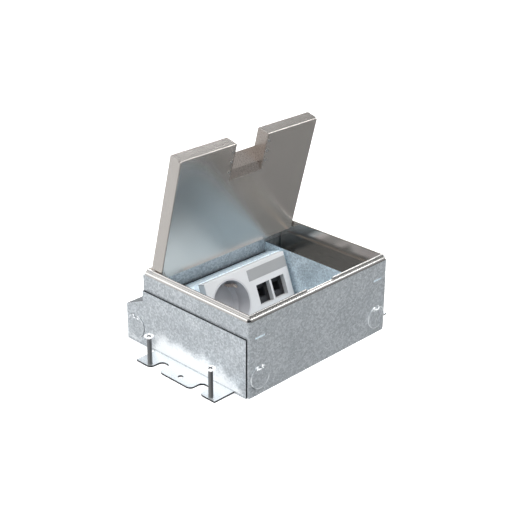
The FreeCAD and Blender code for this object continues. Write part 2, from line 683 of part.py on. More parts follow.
def make_lid_rests():
    inner = f"({LIP_X} - {HEM})"
    strip = block("lid_rest", (f"-{inner}", f"-{inner} + {size('rest_thickness')}"),
                  (f"{LIP_FRONT} + {size('rest_front')}", f"{LIP_BACK} - {size('rest_back')}"),
                  (LEDGE, f"{LID_UNDER} - {size('rest_gap')}"))
    pair(strip, "lid_rest_left", "lid_rest_right")


# Lid, drawn closed and then opened about the hinge axis

NOTCH_X = f"({size('outlet_width')} / 2)"
INSERT = size("insert_sheet")
LID_SHEET = size("lid_sheet")
NOTCH_BACK = f"({LID_FRONT} + {size('outlet_long')})"
RIVET_SPOTS = [(f"{sign}({NOTCH_X} + {size('rivet_side')})",
                f"({LID_FRONT} + {size('rivet_front')} + {step} * {size('rivet_pitch')})")
               for sign in ("-", "") for step in (0, 1, 2)]


def make_lid_tray():
    outer = new_body("lid_outer")
    plan = sketch_on(outer, "lid_plan", "XY_Plane", LID_UNDER)
    rectangle(plan, (f"-{LID_X}", LID_X), (LID_FRONT, LID_BACK))
    pad(outer, "lid_block", plan, size("lid_depth"))
    doc.recompute()
    fillet(outer, "lid_bends", outer.Tip, edges_at(outer.Shape, number(LID_UNDER)), size("lid_bend"))
    recess = block("lid_recess", (f"-{LID_X} + {LID_SHEET}", f"{LID_X} - {LID_SHEET}"),
                   (f"{LID_FRONT} + {LID_SHEET}", f"{LID_BACK} - {LID_SHEET}"),
                   (f"{LID_UNDER} + {LID_SHEET}", f"{LIP_TOP} + {PAST}"))
    notch = block("lid_notch", (f"-{NOTCH_X} - {INSERT}", f"{NOTCH_X} + {INSERT}"),
                  (f"{LID_FRONT} - {PAST}", NOTCH_BACK), (f"{LID_UNDER} - {PAST}", f"{LIP_TOP} + {PAST}"))
    relief = size("lid_relief")
    reliefs = [drill(f"lid_relief_{index}", relief, "z", LID_UNDER, f"{LID_UNDER} + {LID_SHEET}", x=x, y=y)
               for index, (x, y) in enumerate([(f"-{LID_X}", LID_FRONT), (LID_X, LID_FRONT),
                                               (f"-{LID_X}", LID_BACK), (LID_X, LID_BACK)])]
    holes = [drill(f"lid_rivet_hole_{index}", f"{size('rivet_radius')} + {size('fit_gap')}", "z",
                   LID_UNDER, f"{LID_UNDER} + {LID_SHEET}", x=x, y=y)
             for index, (x, y) in enumerate(RIVET_SPOTS)]
    pin_hole = drill("lid_pin_hole", PIN_HOLE, "x", f"-{LID_X}", LID_X, y=HINGE_Y, z=HINGE_Z)
    node(open_lid(cut("lid_tray", outer, recess, notch, *reliefs, *holes, pin_hole)), "lid_tray")


def make_outlet_insert():
    plate_top = f"({LID_UNDER} + {LID_SHEET})"
    body = new_body("ramp_body")
    section = sketch_on(body, "ramp_section", "YZ_Plane")
    run, rise = size("ramp_run"), size("ramp_rise")
    upper_run = f"({size('outlet_long')} - {size('outlet_short')} - {run})"
    upper_rise = f"({size('lid_depth')} - {rise})"
    # Level widths of the sheet in the two slopes
    low_width = f"({INSERT} * sqrt({run} * {run} + {rise} * {rise}) / {rise})"
    high_width = f"({INSERT} * sqrt({upper_run} * {upper_run} + {upper_rise} * {upper_rise}) / {upper_rise})"
    fold_y = f"({NOTCH_BACK} - {run})"
    fold_z = f"({LID_UNDER} + {rise})"
    # Height above the fold at which the backs of the two slopes meet
    meet = f"(({low_width} - {high_width}) / ({run} / {rise} - {upper_run} / {upper_rise}))"
    polygon(section, [
        (NOTCH_BACK, LID_UNDER),
        (fold_y, fold_z),
        (f"{LID_FRONT} + {size('outlet_short')}", LIP_TOP),
        (f"{LID_FRONT} + {size('outlet_short')} + {high_width}", LIP_TOP),
        (f"{fold_y} + {low_width} - {meet} * {run} / {rise}", f"{fold_z} + {meet}"),
        (f"{NOTCH_BACK} + {low_width} - {run} * ({LID_SHEET} + {INSERT}) / {rise}",
         f"{plate_top} + {INSERT}"),
        (f"{NOTCH_BACK} + {size('insert_flange')}", f"{plate_top} + {INSERT}"),
        (f"{NOTCH_BACK} + {size('insert_flange')}", plate_top),
        (NOTCH_BACK, plate_top)])
    pad(body, "ramp_width", section, f"2 * {NOTCH_X}", middle=True)
    parts = [body]
    for side, sign in (("left", "-"), ("right", "")):
        near, far = f"{sign}{NOTCH_X}", f"{sign}({NOTCH_X} + {INSERT})"
        brim = f"{sign}({NOTCH_X} + {INSERT} + {size('insert_flange')})"
        span = (far, near) if side == "left" else (near, far)
        brim_span = (brim, far) if side == "left" else (far, brim)
        parts.append(block(f"insert_wall_{side}", span, (LID_FRONT, NOTCH_BACK), (LID_UNDER, LIP_TOP)))
        parts.append(block(f"insert_brim_{side}", brim_span, (f"{LID_FRONT} + {LID_SHEET}", NOTCH_BACK),
                           (plate_top, f"{plate_top} + {INSERT}")))
    holes = [drill(f"insert_rivet_hole_{index}", f"{size('rivet_radius')} + {size('fit_gap')}", "z",
                   plate_top, f"{plate_top} + {INSERT}", x=x, y=y)
             for index, (x, y) in enumerate(RIVET_SPOTS)]
    node(open_lid(cut("cord_outlet_insert", fuse("insert_blank", *parts), *holes)), "cord_outlet_insert")


def make_insert_rivets():
    rivets = []
    cap = size("rivet_cap")
    grip = f"({LID_SHEET} + {INSERT})"
    for index, (x, y) in enumerate(RIVET_SPOTS):
        shank = rod(f"rivet_shank_{index}", size("rivet_radius"), "z", f"{LID_UNDER} - {cap}",
                    f"{grip} + 2 * {cap}", x=x, y=y)
        under = rod(f"rivet_under_{index}", size("rivet_head"), "z", f"{LID_UNDER} - {cap}", cap, x=x, y=y)
        over = rod(f"rivet_over_{index}", size("rivet_head"), "z", f"{LID_UNDER} + {grip}", cap, x=x, y=y)
        rivets.append(fuse(f"rivet_{index}", shank, under, over))
    node(open_lid(group("insert_rivets", *rivets)), "insert_rivets")


def make_hinge():
    lip_inside = f"({LIP_X} - {HEM})"
    lid_inside = f"({LID_X} - {LID_SHEET})"
    cap = size("pin_cap")
    shank = rod("pin_shank", size("pin_radius"), "x", f"-{LIP_X}",
                f"{LIP_X} - {lid_inside} + {size('washer_play')} + {cap}", y=HINGE_Y, z=HINGE_Z)
    outer = rod("pin_outer_head", size("pin_head"), "x", f"-{LIP_X}", cap, y=HINGE_Y, z=HINGE_Z)
    inner = rod("pin_inner_head", f"{size('hinge_inset')} - {LID_SHEET} - {size('fit_gap')}", "x",
                f"-{lid_inside} + {size('washer_play')}", cap, y=HINGE_Y, z=HINGE_Z)
    pair(fuse("hinge_pin", shank, outer, inner), "hinge_pin_left", "hinge_pin_right")
    play = size("washer_play")
    disc = rod("washer_disc", size("washer_radius"), "x", f"-{lip_inside}", f"{size('lid_gap')} - {play}",
               y=HINGE_Y, z=HINGE_Z)
    bore = drill("washer_bore", f"{size('pin_radius')} + {play}", "x", f"-{lip_inside}",
                 f"-{lip_inside} + {size('lid_gap')}", y=HINGE_Y, z=HINGE_Z)
    pair(cut("hinge_washer", disc, bore), "hinge_washer_left", "hinge_washer_right")


# Tilted carrier and devices

FACE_DEPTH = size("face_depth")
CARRIER_BACK = f"({FACE_DEPTH} + {STEEL})"
MODULE = f"({size('face_width')} / 4)"
SOCKET_V = f"(-{size('face_height')} / 2)"
PORT_V = f"-{size('port_y')}"
FOOT_RISE = f"(({STEEL} - {FACE_Z} + {FACE_DEPTH} * cos({TILT})) / sin({TILT}))"
FOOT_TOP_RISE = f"((2 * {STEEL} - {FACE_Z} + {CARRIER_BACK} * cos({TILT})) / sin({TILT}))"
FOOT_BACK_Y = f"({leaning(FOOT_TOP_RISE, '-' + CARRIER_BACK)[0]} + {size('foot_length')})"
FOOT_SCREW_Y = f"({FOOT_BACK_Y} - {size('foot_length')} / 2)"
STUD_X = f"(-{HALF} + {size('stud_inset')})"
STUD_Y = f"({BACK} + {size('rear_depth')} / 2)"
SMALL_HOLE = f"({size('small_radius')} + {size('small_play')})"
SCREW_X = f"({MODULE} - {size('face_wall')} - {size('small_head')} - {size('screw_edge')})"
SCREW_V = (f"({size('face_height')} / 2 - {size('face_wall')} - {size('small_head')}"
           f" - {size('screw_end_edge')})")
DEVICE_SCREWS = [(f"({sign}{MODULE} + {turn} * {SCREW_X})", f"({SOCKET_V} + {turn} * {SCREW_V})")
                 for sign in ("-", "") for turn in (-1, 1)]
PLATE_X = f"({MODULE} - {size('plate_margin')})"
PLATE_V = f"({size('face_height')} / 2 - {size('plate_end_margin')})"
SOCKET_X = f"({FACE_X} - {MODULE})"
CARRIER_X = f"({WALL_X} - {size('carrier_gap')})"
LEFT_FOOT = f"({CARRIER_X} + {SOCKET_X} - {size('foot_gap')} / 2)"
FOOT_SCREW_X = [f"({LEFT_FOOT} / 2 - {CARRIER_X})", f"({CARRIER_X} - {LEFT_FOOT} / 2)"]


def make_device_carrier():
    rise = size("roof_rise")
    under = f"({rise} - {STEEL})"
    end = f"(-({FACE_DEPTH} + {size('roof_length')}))"
    body = new_body("carrier_body")
    section = sketch_on(body, "carrier_section", "YZ_Plane")
    polygon(section, [
        (leaning(FOOT_RISE, f"-{FACE_DEPTH}")[0], STEEL),
        leaning(rise, f"-{FACE_DEPTH}"),
        leaning(rise, end),
        leaning(under, end),
        leaning(under, f"-{CARRIER_BACK}"),
        (leaning(FOOT_TOP_RISE, f"-{CARRIER_BACK}")[0], f"2 * {STEEL}"),
        (FOOT_BACK_Y, f"2 * {STEEL}"),
        (FOOT_BACK_Y, STEEL)])
    pad(body, "carrier_width", section, f"2 * {CARRIER_X}", middle=True)
    gap = size("fit_gap")
    through = (f"-{CARRIER_BACK} - {PAST}", f"-{FACE_DEPTH} + {PAST}")
    well = drill("carrier_well_hole", f"{WELL_OUT} + 2 * {gap}", "z", f"-{CARRIER_BACK}", f"-{FACE_DEPTH}",
                 x=f"-{MODULE}", y=SOCKET_V)
    half_x, half_v = SUPPORT_X, SUPPORT_V
    ports = block("carrier_port_hole", (f"{MODULE} - {half_x} - {gap}", f"{MODULE} + {half_x} + {gap}"),
                  (f"{PORT_V} - {half_v} - {gap}", f"{PORT_V} + {half_v} + {gap}"), through)
    holes = [drill(f"carrier_screw_hole_{index}", SMALL_HOLE, "z", f"-{CARRIER_BACK}", f"-{FACE_DEPTH}",
                   x=x, y=v)
             for index, (x, v) in enumerate(DEVICE_SCREWS)]
    openings = lean(group("carrier_openings", well, ports, *holes))
    feet = [rod(f"carrier_foot_hole_{index}", SMALL_HOLE, "z", "0", f"3 * {STEEL}", x=x, y=FOOT_SCREW_Y)
            for index, x in enumerate(FOOT_SCREW_X)]
    clear = block("carrier_foot_gap",
                  (f"{SOCKET_X} - {size('foot_gap')} / 2", f"{SOCKET_X} + {size('foot_gap')} / 2"),
                  (f"{FOOT_BACK_Y} - 2 * {size('foot_length')}", f"{FOOT_BACK_Y} + {PAST}"),
                  ("0", f"2 * {STEEL}"))
    node(cut("device_carrier", body, openings, *feet, clear), "device_carrier")


def small_screw(name, low, high, x, y):
    """A pan head screw that stands along Z, its head above high."""
    shank = rod(name + "_shank", size("small_radius"), "z", low, f"({high}) - ({low})", x=x, y=y)
    head = rod(name + "_head", size("small_head"), "z", high, size("small_cap"), x=x, y=y)
    top = f"{high} + {size('small_cap')}"
    slot = block(name + "_slot",
                 (f"{x} - {size('small_head')} - {PAST}", f"{x} + {size('small_head')} + {PAST}"),
                 spread(y, size("small_slot")), (f"{top} - {size('small_slot_depth')}", f"{top} + {PAST}"))
    return cut(name, fuse(name + "_blank", shank, head), slot)


def make_small_screws():
    feet = [small_screw(f"foot_screw_{index}", "0", f"2 * {STEEL}", x, FOOT_SCREW_Y)
            for index, x in enumerate(FOOT_SCREW_X)]
    node(group("carrier_screws", *feet), "carrier_screws")
    devices = [small_screw(f"device_screw_{index}", f"-{CARRIER_BACK} - {size('ring_sheet')}",
                           f"-{FACE_DEPTH}", x, v)
               for index, (x, v) in enumerate(DEVICE_SCREWS)]
    node(lean(group("device_screws", *devices)), "device_screws")


def make_face_plate():
    width, height = size("face_width"), size("face_height")
    wall = size("face_wall")
    body = new_body("face_body")
    plan = sketch_on(body, "face_outline", "XY_Plane", f"-{FACE_DEPTH}")
    rectangle(plan, (f"-{width} / 2", f"{width} / 2"), (f"-{height}", "0"))
    pad(body, "face_block", plan, FACE_DEPTH)
    doc.recompute()
    fillet(body, "face_rounds", body.Tip, edges_at(body.Shape, 0), size("face_round"))
    hollow = sketch_on(body, "face_hollow_outline", "XY_Plane", f"-{FACE_DEPTH}")
    rectangle(hollow, (f"-{width} / 2 + {wall}", f"{width} / 2 - {wall}"),
              (f"-{height} + {wall}", f"-{wall}"))
    pocket(body, "face_hollow", hollow, f"{FACE_DEPTH} - {wall}", backwards=True)
    gap = size("fit_gap")
    collar = block("face_collar", (f"{MODULE} - {SUPPORT_X}", f"{MODULE} + {SUPPORT_X}"),
                   (f"{PORT_V} - {SUPPORT_V}", f"{PORT_V} + {SUPPORT_V}"), (f"-{COLLAR}", f"-{wall}"))
    tools = [drill("face_well_hole", f"{WELL_OUT} + {gap}", "z", f"-{FACE_DEPTH}", "0",
                   x=f"-{MODULE}", y=SOCKET_V)]
    for index, x in enumerate(PORT_X):
        tools.append(block(f"face_port_{index}", spread(x, size("port_width")),
                           spread(PORT_V, size("port_height")), (f"-{FACE_DEPTH} - {PAST}", PAST)))
    tools.append(block("face_label_bed", (f"{MODULE} - {LABEL_X} - {gap}", f"{MODULE} + {LABEL_X} + {gap}"),
                       (f"{LABEL_V} - {LABEL_HALF} - {gap}", f"{LABEL_V} + {LABEL_HALF} + {gap}"),
                       (f"-{size('label_sheet')} - {gap}", PAST)))
    node(lean(cut("face_plate", fuse("face_blank", body, collar), *tools)), "face_plate")


COLLAR = size("port_collar")
SUPPORT_BACK = f"({COLLAR} + {size('support_depth')})"
LABEL_X = f"({MODULE} - {size('label_margin')})"
LABEL_HALF = f"({size('label_height')} / 2)"
LABEL_V = f"(-{size('label_y')})"
PORT_X = [f"({MODULE} {sign} {size('port_pitch')} / 2)" for sign in ("-", "+")]
SUPPORT_X = f"(({size('port_pitch')} + {size('port_width')}) / 2 + {size('support_wall')})"
SUPPORT_V = f"({size('port_height')} / 2 + {size('support_wall')})"
WELL_OUT = f"({MODULE} - {size('well_side')})"
WELL_R = f"({WELL_OUT} - {size('well_wall')})"
WELL_BACK = f"({size('well_depth')} + {size('well_floor')})"


def make_label_strip():
    gap = size("fit_gap")
    strip = block("label_panel", (f"{MODULE} - {LABEL_X}", f"{MODULE} + {LABEL_X}"),
                  (f"{LABEL_V} - {LABEL_HALF}", f"{LABEL_V} + {LABEL_HALF}"),
                  (f"-{size('label_sheet')} - {gap}", f"-{gap}"))
    node(lean(group("label_strip", strip)), "label_strip")


def socket_turned(thing):
    """Turn a piece of the socket clockwise about the well's axis."""
    thing.Placement = FreeCAD.Placement(FreeCAD.Vector(), FreeCAD.Rotation(FreeCAD.Vector(0, 0, -1), 60))
    thing.setExpression("Placement.Rotation.Angle", SOCKET_TURN)
    return place(thing,
                 x=f"-{MODULE} + {MODULE} * cos({SOCKET_TURN}) - {SOCKET_V} * sin({SOCKET_TURN})",
                 y=f"{SOCKET_V} - {MODULE} * sin({SOCKET_TURN}) - {SOCKET_V} * cos({SOCKET_TURN})")


def make_socket():
    body = new_body("well_body")
    section = sketch_on(body, "well_section", "XZ_Plane")
    bevel = size("well_bevel")
    ring_back = f"({CARRIER_BACK} + {size('ring_sheet')})"
    collar_back = f"({ring_back} + {size('collar_sheet')})"
    polygon(section, [
        ("0", f"-{WELL_BACK}"),
        (f"{WELL_OUT} - {bevel}", f"-{WELL_BACK}"),
        (WELL_OUT, f"-{WELL_BACK} + {bevel}"),
        (WELL_OUT, f"-{collar_back}"),
        (size("well_collar"), f"-{collar_back}"),
        (size("well_collar"), f"-{ring_back}"),
        (WELL_OUT, f"-{ring_back}"),
        (WELL_OUT, "0"),
        (WELL_R, "0"),
        (WELL_R, f"-{size('well_depth')} + {bevel}"),
        (f"{WELL_R} - {bevel}", f"-{size('well_depth')}"),
        ("0", f"-{size('well_depth')}")])
    turned(body, "well_turned", section)
    place(body, f"-{MODULE}", SOCKET_V)
    tools = [drill(f"well_contact_{index}", size("contact_hole"), "z", f"-{WELL_BACK}",
                   f"-{size('well_depth')}", x=x, y=v)
             for index, (x, v) in enumerate(CONTACTS)]
    slot_x = f"({size('bow_width')} / 2 + {size('fit_gap')})"
    for index, (low, high) in enumerate(BOW_LEGS):
        slot = block(f"well_bow_slot_{index}", (f"-{MODULE} - {slot_x}", f"-{MODULE} + {slot_x}"),
                     (f"{low} - {size('fit_gap')}", f"{high} + {size('fit_gap')}"),
                     (f"-{WELL_BACK} - {PAST}", f"-{size('well_depth')} + {size('well_bevel')}"))
        tools.append(socket_turned(group(f"well_bow_slot_{index}_turned", slot)))
    node(lean(cut("socket_well", body, *tools)), "socket_well")

    span = (f"-{MODULE} - {size('bow_width')} / 2", f"-{MODULE} + {size('bow_width')} / 2")
    legs = [block(f"bow_leg_{index}", span, (low, high), (f"-{BOW_BACK}", f"-{size('bow_front')}"))
            for index, (low, high) in enumerate(BOW_LEGS)]
    bridge = block("bow_bridge", span, (BOW_LEGS[0][0], BOW_LEGS[1][1]),
                   (f"-{BOW_BACK}", f"-{WELL_BACK}"))
    nose_v = f"({BOW_OUT} - {size('bow_sheet')})"
    noses = [rod(f"bow_nose_{index}", size("bow_nose"), "x", span[0], size("bow_width"),
                 y=f"({SOCKET_V} {sign} {nose_v})", z=f"-{size('bow_front')} - {size('bow_nose')}")
             for index, sign in enumerate(("-", "+"))]
    bow = socket_turned(fuse("bow_strip", *legs, bridge, *noses))
    node(lean(group("earth_bow", bow)), "earth_bow")


SOCKET_TURN = size("socket_turn")
CONTACTS = [(f"(-{MODULE} {x_sign} {size('contact_spacing')} / 2 * cos({SOCKET_TURN}))",
             f"({SOCKET_V} {v_sign} {size('contact_spacing')} / 2 * sin({SOCKET_TURN}))")
            for x_sign, v_sign in ("-+", "+-")]
BOW_OUT = f"({WELL_R} - {size('bow_side')})"
BOW_LEGS = [(f"({SOCKET_V} - {BOW_OUT})", f"({SOCKET_V} - {BOW_OUT} + {size('bow_sheet')})"),
            (f"({SOCKET_V} + {BOW_OUT} - {size('bow_sheet')})", f"({SOCKET_V} + {BOW_OUT})")]
BOW_BACK = f"({WELL_BACK} + {size('bow_sheet')})"
BASE_TOP = f"({SOCKET_V} + {size('base_height')} / 2)"
BASE_BACK = f"({BOW_BACK} + {size('base_depth')})"


def make_socket_base():
    base = block("base_block", spread(f"-{MODULE}", size("base_width")),
                 (f"{SOCKET_V} - {size('base_height')} / 2", BASE_TOP), (f"-{BASE_BACK}", f"-{BOW_BACK}"))
    bores = [rod(f"base_bore_{index}", f"{size('sleeve_outer')} + {size('fit_gap')}", "z",
                 f"-{BOW_BACK} - {size('sleeve_length')}", f"{size('sleeve_length')} + {PAST}", x=x, y=v)
             for index, (x, v) in enumerate(CONTACTS)]
    drills = [rod(f"base_drill_{index}", f"{size('small_radius')} + {size('fit_gap')}", "y",
                  f"{BASE_TOP} - {size('terminal_length')} - {size('terminal_spare')}",
                  f"{size('terminal_length')} + {size('terminal_spare')} + {PAST}", x=x, z=TERMINAL_N)
              for index, x in enumerate(TERMINAL_X)]
    node(lean(cut("socket_base", base, *bores, *drills)), "socket_base")
    for side, (x, v) in zip(("left", "right"), CONTACTS):
        tube = rod(f"sleeve_{side}_rod", size("sleeve_outer"), "z",
                   f"-{BOW_BACK} - {size('sleeve_length')}", size("sleeve_length"), x=x, y=v)
        bore = rod(f"sleeve_{side}_bore", size("sleeve_inner"), "z",
                   f"-{BOW_BACK} - {size('sleeve_length')} + {PAST}", size("sleeve_length"), x=x, y=v)
        node(lean(cut(f"contact_sleeve_{side}", tube, bore)), f"contact_sleeve_{side}")
    screws = []
    for index, x in enumerate(TERMINAL_X):
        shank = rod(f"terminal_shank_{index}", size("small_radius"), "y",
                    f"{BASE_TOP} - {size('terminal_length')}", size("terminal_length"), x=x, z=TERMINAL_N)
        head = rod(f"terminal_head_{index}", size("terminal_radius"), "y", BASE_TOP,
                   size("terminal_height"), x=x, z=TERMINAL_N)
        screws.append(fuse(f"terminal_screw_{index}", shank, head))
    node(lean(group("terminal_screws", *screws)), "terminal_screws")


TERMINAL_X = [f"(-{MODULE} + {step} * {size('terminal_pitch')})" for step in (-1, 0, 1)]
TERMINAL_N = f"(-{BOW_BACK} - {size('base_depth')} / 2)"


def make_support_ring():
    plate = block("ring_plate", (f"-{MODULE} - {PLATE_X}", f"-{MODULE} + {PLATE_X}"),
                  (f"{SOCKET_V} - {PLATE_V}", f"{SOCKET_V} + {PLATE_V}"),
                  (f"-{CARRIER_BACK} - {size('ring_sheet')}", f"-{CARRIER_BACK}"))
    hole = drill("ring_hole", f"{WELL_OUT} + {size('fit_gap')}", "z",
                 f"-{CARRIER_BACK} - {size('ring_sheet')}", f"-{CARRIER_BACK}", x=f"-{MODULE}", y=SOCKET_V)
    drills = [drill(f"ring_drill_{index}", SMALL_HOLE, "z", f"-{CARRIER_BACK} - {size('ring_sheet')}",
                    f"-{CARRIER_BACK}", x=x, y=v)
              for index, (x, v) in enumerate(DEVICE_SCREWS[:2])]
    node(lean(cut("socket_support_ring", plate, hole, *drills)), "socket_support_ring")


def make_data_ports():
    core = block("support_core", (f"{MODULE} - {SUPPORT_X}", f"{MODULE} + {SUPPORT_X}"),
                 (f"{PORT_V} - {SUPPORT_V}", f"{PORT_V} + {SUPPORT_V}"), (f"-{SUPPORT_BACK}", f"-{COLLAR}"))
    flange = block("support_flange", (f"{MODULE} - {PLATE_X}", f"{MODULE} + {PLATE_X}"),
                   (f"{SOCKET_V} - {PLATE_V}", f"{SOCKET_V} + {PLATE_V}"),
                   (f"-{CARRIER_BACK} - {size('ring_sheet')}", f"-{CARRIER_BACK}"))
    tools = []
    for index, x in enumerate(PORT_X):
        tools.append(block(f"support_port_{index}", spread(x, size("port_width")),
                           spread(PORT_V, size("port_height")), (f"-{SUPPORT_BACK} - {PAST}", "0")))
    for index, (x, v) in enumerate(DEVICE_SCREWS[2:]):
        tools.append(drill(f"support_drill_{index}", SMALL_HOLE, "z",
                           f"-{CARRIER_BACK} - {size('ring_sheet')}", f"-{CARRIER_BACK}", x=x, y=v))
    node(lean(cut("data_support", fuse("support_blank", core, flange), *tools)), "data_support")
    gap = size("fit_gap")
    for index, side in enumerate(("left", "right")):
        x = PORT_X[index]
        shell = block(f"jack_{side}_block", spread(x, f"({size('port_width')} - 2 * {gap})"),
                      spread(PORT_V, f"({size('port_height')} - 2 * {gap})"),
                      (f"-{size('port_recess')} - {size('jack_length')}", f"-{size('port_recess')}"))
        mouth = block(f"jack_{side}_mouth", spread(x, size("jack_mouth_width")),
                      spread(PORT_V, size("jack_mouth_height")),
                      (f"-{size('port_recess')} - {size('jack_mouth_depth')}", "0"))
        node(lean(cut(f"data_jack_{side}", shell, mouth)), f"data_jack_{side}")


# Earth stud in the rear compartment

def make_earth_stud():
    shank = rod("stud_shank", size("stud_radius"), "z", "0", f"{STEEL} + {size('stud_length')}",
                x=STUD_X, y=STUD_Y)
    collar = rod("stud_foot", size("stud_collar"), "z", STEEL, size("collar_height"), x=STUD_X, y=STUD_Y)
    node(fuse("earth_stud", shank, collar), "earth_stud")
    nut = doc.addObject("Part::Prism", "nut_blank")
    nut.Polygon = 6
    nut.setExpression("Circumradius", f"{size('nut_flats')} / sqrt(3)")
    nut.setExpression("Height", size("nut_height"))
    place(nut, STUD_X, STUD_Y, f"{STEEL} + {size('collar_height')} + {size('nut_height')}")
    bore = rod("nut_bore", f"{size('stud_radius')} + {size('small_play')}", "z", "0",
               f"{STEEL} + {size('stud_length')} + {PAST}", x=STUD_X, y=STUD_Y)
    node(cut("earth_nut", nut, bore), "earth_nut")


# Levelling screws

LEVEL_X = f"({FLANGE_X} - {size('level_inset')})"
LEVEL_Y = [f"({FLANGE_Y} - {size('level_offset')} {sign} {size('level_pitch')} / 2)" for sign in "-+"]


def make_levelling_screw(name, x, y):
    top = size("level_height")
    body = new_body(name + "_turned")
    section = sketch_on(body, name + "_section", "XZ_Plane")
    chamfer = size("level_tip")
    polygon(section, [
        ("0", "0"),
        (f"{size('level_radius')} - {chamfer}", "0"),
        (size("level_radius"), chamfer),
        (size("level_radius"), f"{top} - {size('level_cone')}"),
        (size("level_head"), f"{top} - {size('level_rim')}"),
        (size("level_head"), top),
        ("0", top)])
    turned(body, name + "_revolution", section)
    reach, width = f"({size('recess_length')} / 2)", f"({size('recess_width')} / 2)"
    span = (f"{top} - {size('recess_depth')}", f"{top} + {PAST}")
    first = block(name + "_recess_a", (f"-{reach}", reach), (f"-{width}", width), span)
    second = block(name + "_recess_b", (f"-{width}", width), (f"-{reach}", reach), span)
    screw = cut(name, body, first, second)
    place(screw, x, y)
    node(screw, name)


def make_levelling_screws():
    for side, x in (("left", f"-{LEVEL_X}"), ("right", LEVEL_X)):
        for end, y in (("front", LEVEL_Y[0]), ("rear", LEVEL_Y[1])):
            make_levelling_screw(f"levelling_screw_{end}_{side}", x, y)


make_body_shell()
make_bottom_plate()
make_channel_covers()
make_rear_hood()
make_brackets()
make_knockouts()
make_floor_frame()
make_lid_rests()
make_lid_tray()
make_outlet_insert()
make_insert_rivets()
make_hinge()
make_device_carrier()
make_small_screws()
make_face_plate()
make_label_strip()
make_socket()
make_socket_base()
make_support_ring()
make_data_ports()
make_earth_stud()
make_levelling_screws()

doc.recompute()


# Check and export

for thing in doc.Objects:
    if any(state in thing.State for state in ("Invalid", "Error")):
        raise ValueError(thing.Name + " failed: " + str(thing.State))
for thing in NODES:
    if thing.Shape.isNull() or not thing.Shape.isValid() or not thing.Shape.Solids:
        raise ValueError(thing.Label + " has no valid solid")

os.makedirs("parts", exist_ok=True)
for thing in NODES:
    thing.Shape.exportStep(os.path.join("parts", thing.Label + ".step"))
print(len(NODES), "nodes")
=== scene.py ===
import json
import math

import bmesh
import bpy
from mathutils import Matrix, Vector


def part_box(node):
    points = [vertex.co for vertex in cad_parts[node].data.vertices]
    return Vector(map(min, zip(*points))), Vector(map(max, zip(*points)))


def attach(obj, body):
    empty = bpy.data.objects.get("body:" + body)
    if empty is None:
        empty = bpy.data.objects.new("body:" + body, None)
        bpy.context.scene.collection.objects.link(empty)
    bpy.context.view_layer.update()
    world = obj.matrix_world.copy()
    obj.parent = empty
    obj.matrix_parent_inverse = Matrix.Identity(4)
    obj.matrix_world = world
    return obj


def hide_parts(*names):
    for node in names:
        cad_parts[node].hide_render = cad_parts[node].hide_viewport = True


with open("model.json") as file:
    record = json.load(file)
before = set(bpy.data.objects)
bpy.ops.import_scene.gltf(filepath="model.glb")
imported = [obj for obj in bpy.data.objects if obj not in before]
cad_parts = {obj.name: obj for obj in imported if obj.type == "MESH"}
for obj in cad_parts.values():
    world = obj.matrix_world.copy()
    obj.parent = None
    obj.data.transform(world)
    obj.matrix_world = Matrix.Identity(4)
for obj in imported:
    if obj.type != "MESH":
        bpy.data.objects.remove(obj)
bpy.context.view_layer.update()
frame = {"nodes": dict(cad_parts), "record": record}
nodes = frame["nodes"]
MM = 0.001

# The photograph's camera, fitted to the box's corners: degrees, millimetres and pixels.
# The corner is the lowest one at the front left.
CAMERA_TURN, CAMERA_RISE, CAMERA_ROLL = -45.52, 24.66, 0.27
CORNER_FROM_CAMERA = Vector((-6.38, -106.69, -863.71))
ORIGIN_FROM_CORNER = Vector((80, 69.4, 0))
FOCAL_LENGTH = 1150
PHOTO_WIDTH = 515
SENSOR_WIDTH = 36

FLOOR_RADIUS = 9.5
BACKDROP_RADIUS = 10

# Where a finish, a painted light or a painted shade changes: heights above the base, and places from the
# box's middle
FLANGE_TOP = 1.6 * MM
FOLD_TOP = 2.1 * MM
PAINTED_GLOW_TOP = 23 * MM
HEAD_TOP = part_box("levelling_screw_front_left")[1][2]
FLANGE_MIDDLE = -9.9 * MM
CHEEK_OUTSIDE = 81.55 * MM
WALL_INSIDE = 76.9 * MM

# The painted glow, the flange's light reflected on the cheek, fades between these, from the flange's
# middle
PAINTED_GLOW_FADES, PAINTED_GLOW_ENDS = 34 * MM, 54 * MM

# Widths of a knockout's painted highlights round its rim and at its tab
CUT_RIM = 0.7 * MM
CUT_TAB = 3.6 * MM
# How far below the head's top the cross recess's painted shade starts
RECESS_DEPTH = 0.3 * MM

# How far an edge is rounded where it catches the light
SHEET_EDGE = 0.25 * MM
TRAY_EDGE = 0.3 * MM
HEAD_EDGE = 0.12 * MM
EDGE_SAMPLES = 6

WHITE = (1.0, 1.0, 1.0)
BLUISH = (0.92, 1.0, 1.03)
# Near black for cut edges: raw steel, darkened as painted shade of the gaps beside them
RAW_EDGE_SHADE = (0.035, 0.04, 0.045)
# A bright zinc used only for painted light, glow and highlights
PAINTED_HIGHLIGHT_ZINC = (0.93, 0.96, 0.98)
ZINC_SHADES = ((0.25, (0.38, 0.415, 0.445)), (0.50, (0.51, 0.55, 0.585)), (0.78, (0.72, 0.76, 0.79)))
# Painted shade: the walls' zinc is painted a little darker
WALL_PAINTED_SHADE = 0.93

# A soft noise seldom goes beyond these
NOISE_LOW, NOISE_HIGH = 0.3, 0.7

# A surface mostly faces along an axis from here on
MOSTLY = 0.5

# The numbers of a mix node's two inputs and its output
MIX_SOCKETS = {"FLOAT": (2, 3, 0), "RGBA": (6, 7, 2)}

PITCH = 0.7 * MM
THREAD_DEPTH = 0.32 * MM
THREAD_STEPS = 20
CONE = 2.2 * MM
SHAFT_RADIUS = 1.95 * MM
CORE_OVERLAP = 0.02 * MM
CORE_SIDES = 32

# Corners this near to each other are merged
HEAD_MERGE = 0.001 * MM
THREAD_MERGE = 0.002 * MM


# Patterns

